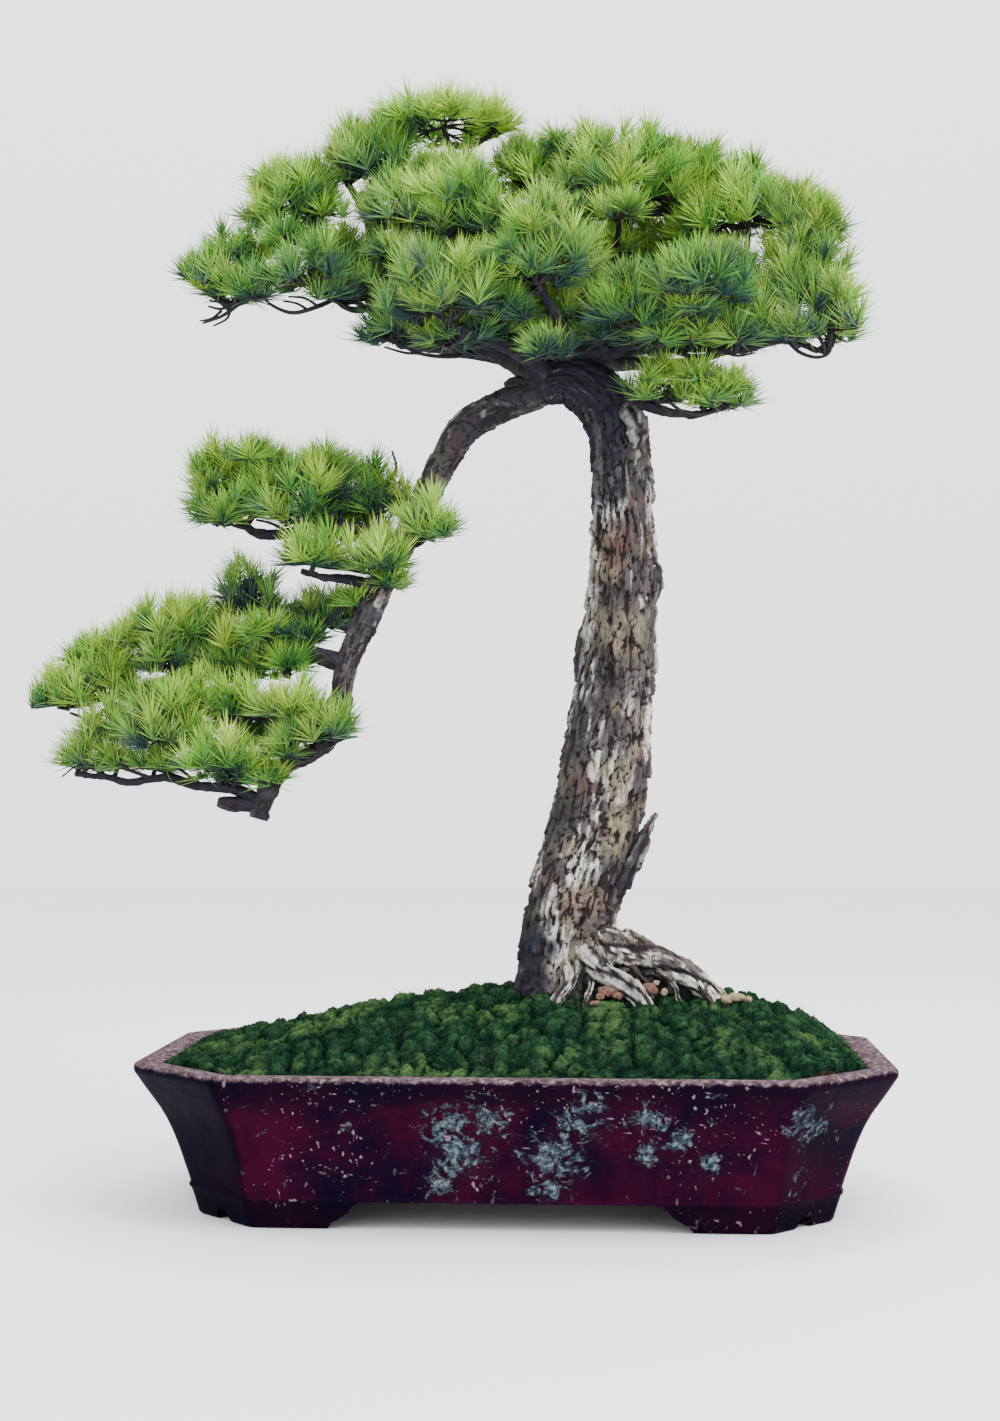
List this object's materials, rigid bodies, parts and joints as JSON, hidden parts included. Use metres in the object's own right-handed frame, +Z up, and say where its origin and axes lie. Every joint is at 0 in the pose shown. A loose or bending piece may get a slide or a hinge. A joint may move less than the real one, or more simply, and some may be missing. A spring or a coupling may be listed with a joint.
{
  "type": "pine bonsai in a pot",
  "caption": "Potted pine bonsai: a tall flaky trunk that arches over, a crown of needle pads, a cascading limb to one side, and a long eight-sided glazed pot with moss.",
  "frame": {"origin": "middle of the whole object's box, on the ground under the pot's feet", "axes": "+X along the pot's length away from the cascading limb, +Y to the back, +Z up"},
  "size_m": [1.1478, 0.582, 1.5357],
  "materials": {
    "pot": "dark maroon glaze with pale mineral crust",
    "screen": "black plastic mesh",
    "soil": "packed gritty soil",
    "moss": "short cushion moss",
    "wood": "flaky pine bark",
    "needles": "pine needles, slightly waxy"
  },
  "bodies": {
    "root": {"cascade_pad_01": "needles", "cascade_pad_02": "needles", "cascade_pad_03": "needles", "cascade_pad_04": "needles", "cascade_pad_05": "needles", "cascade_pad_06": "needles", "cascade_pad_07": "needles", "cascade_pad_08": "needles", "cascade_pad_09": "needles", "cascade_pad_10": "needles", "cascade_pad_11": "needles", "cascade_pad_12": "needles", "cascade_pad_13": "needles", "cascade_pad_14": "needles", "cascade_pad_15": "needles", "cascade_pad_16": "needles", "cascade_pad_17": "needles", "cascade_pad_18": "needles", "cascade_pad_19": "needles", "cascade_pad_20": "needles", "crown_pad_01": "needles", "crown_pad_02": "needles", "crown_pad_03": "needles", "crown_pad_04": "needles", "crown_pad_05": "needles", "crown_pad_06": "needles", "crown_pad_07": "needles", "crown_pad_08": "needles", "crown_pad_09": "needles", "crown_pad_10": "needles", "crown_pad_11": "needles", "crown_pad_12": "needles", "crown_pad_13": "needles", "crown_pad_14": "needles", "crown_pad_15": "needles", "crown_pad_16": "needles", "crown_pad_17": "needles", "crown_pad_18": "needles", "crown_pad_19": "needles", "crown_pad_20": "needles", "crown_pad_21": "needles", "crown_pad_22": "needles", "crown_pad_23": "needles", "crown_pad_24": "needles", "crown_pad_25": "needles", "crown_pad_26": "needles", "crown_pad_27": "needles", "crown_pad_28": "needles", "crown_pad_29": "needles", "crown_pad_30": "needles", "drain_screen_left": "screen", "drain_screen_right": "screen", "moss": "moss", "pot": "pot", "soil": "soil", "wood": "wood"}
  },
  "joints": []
}
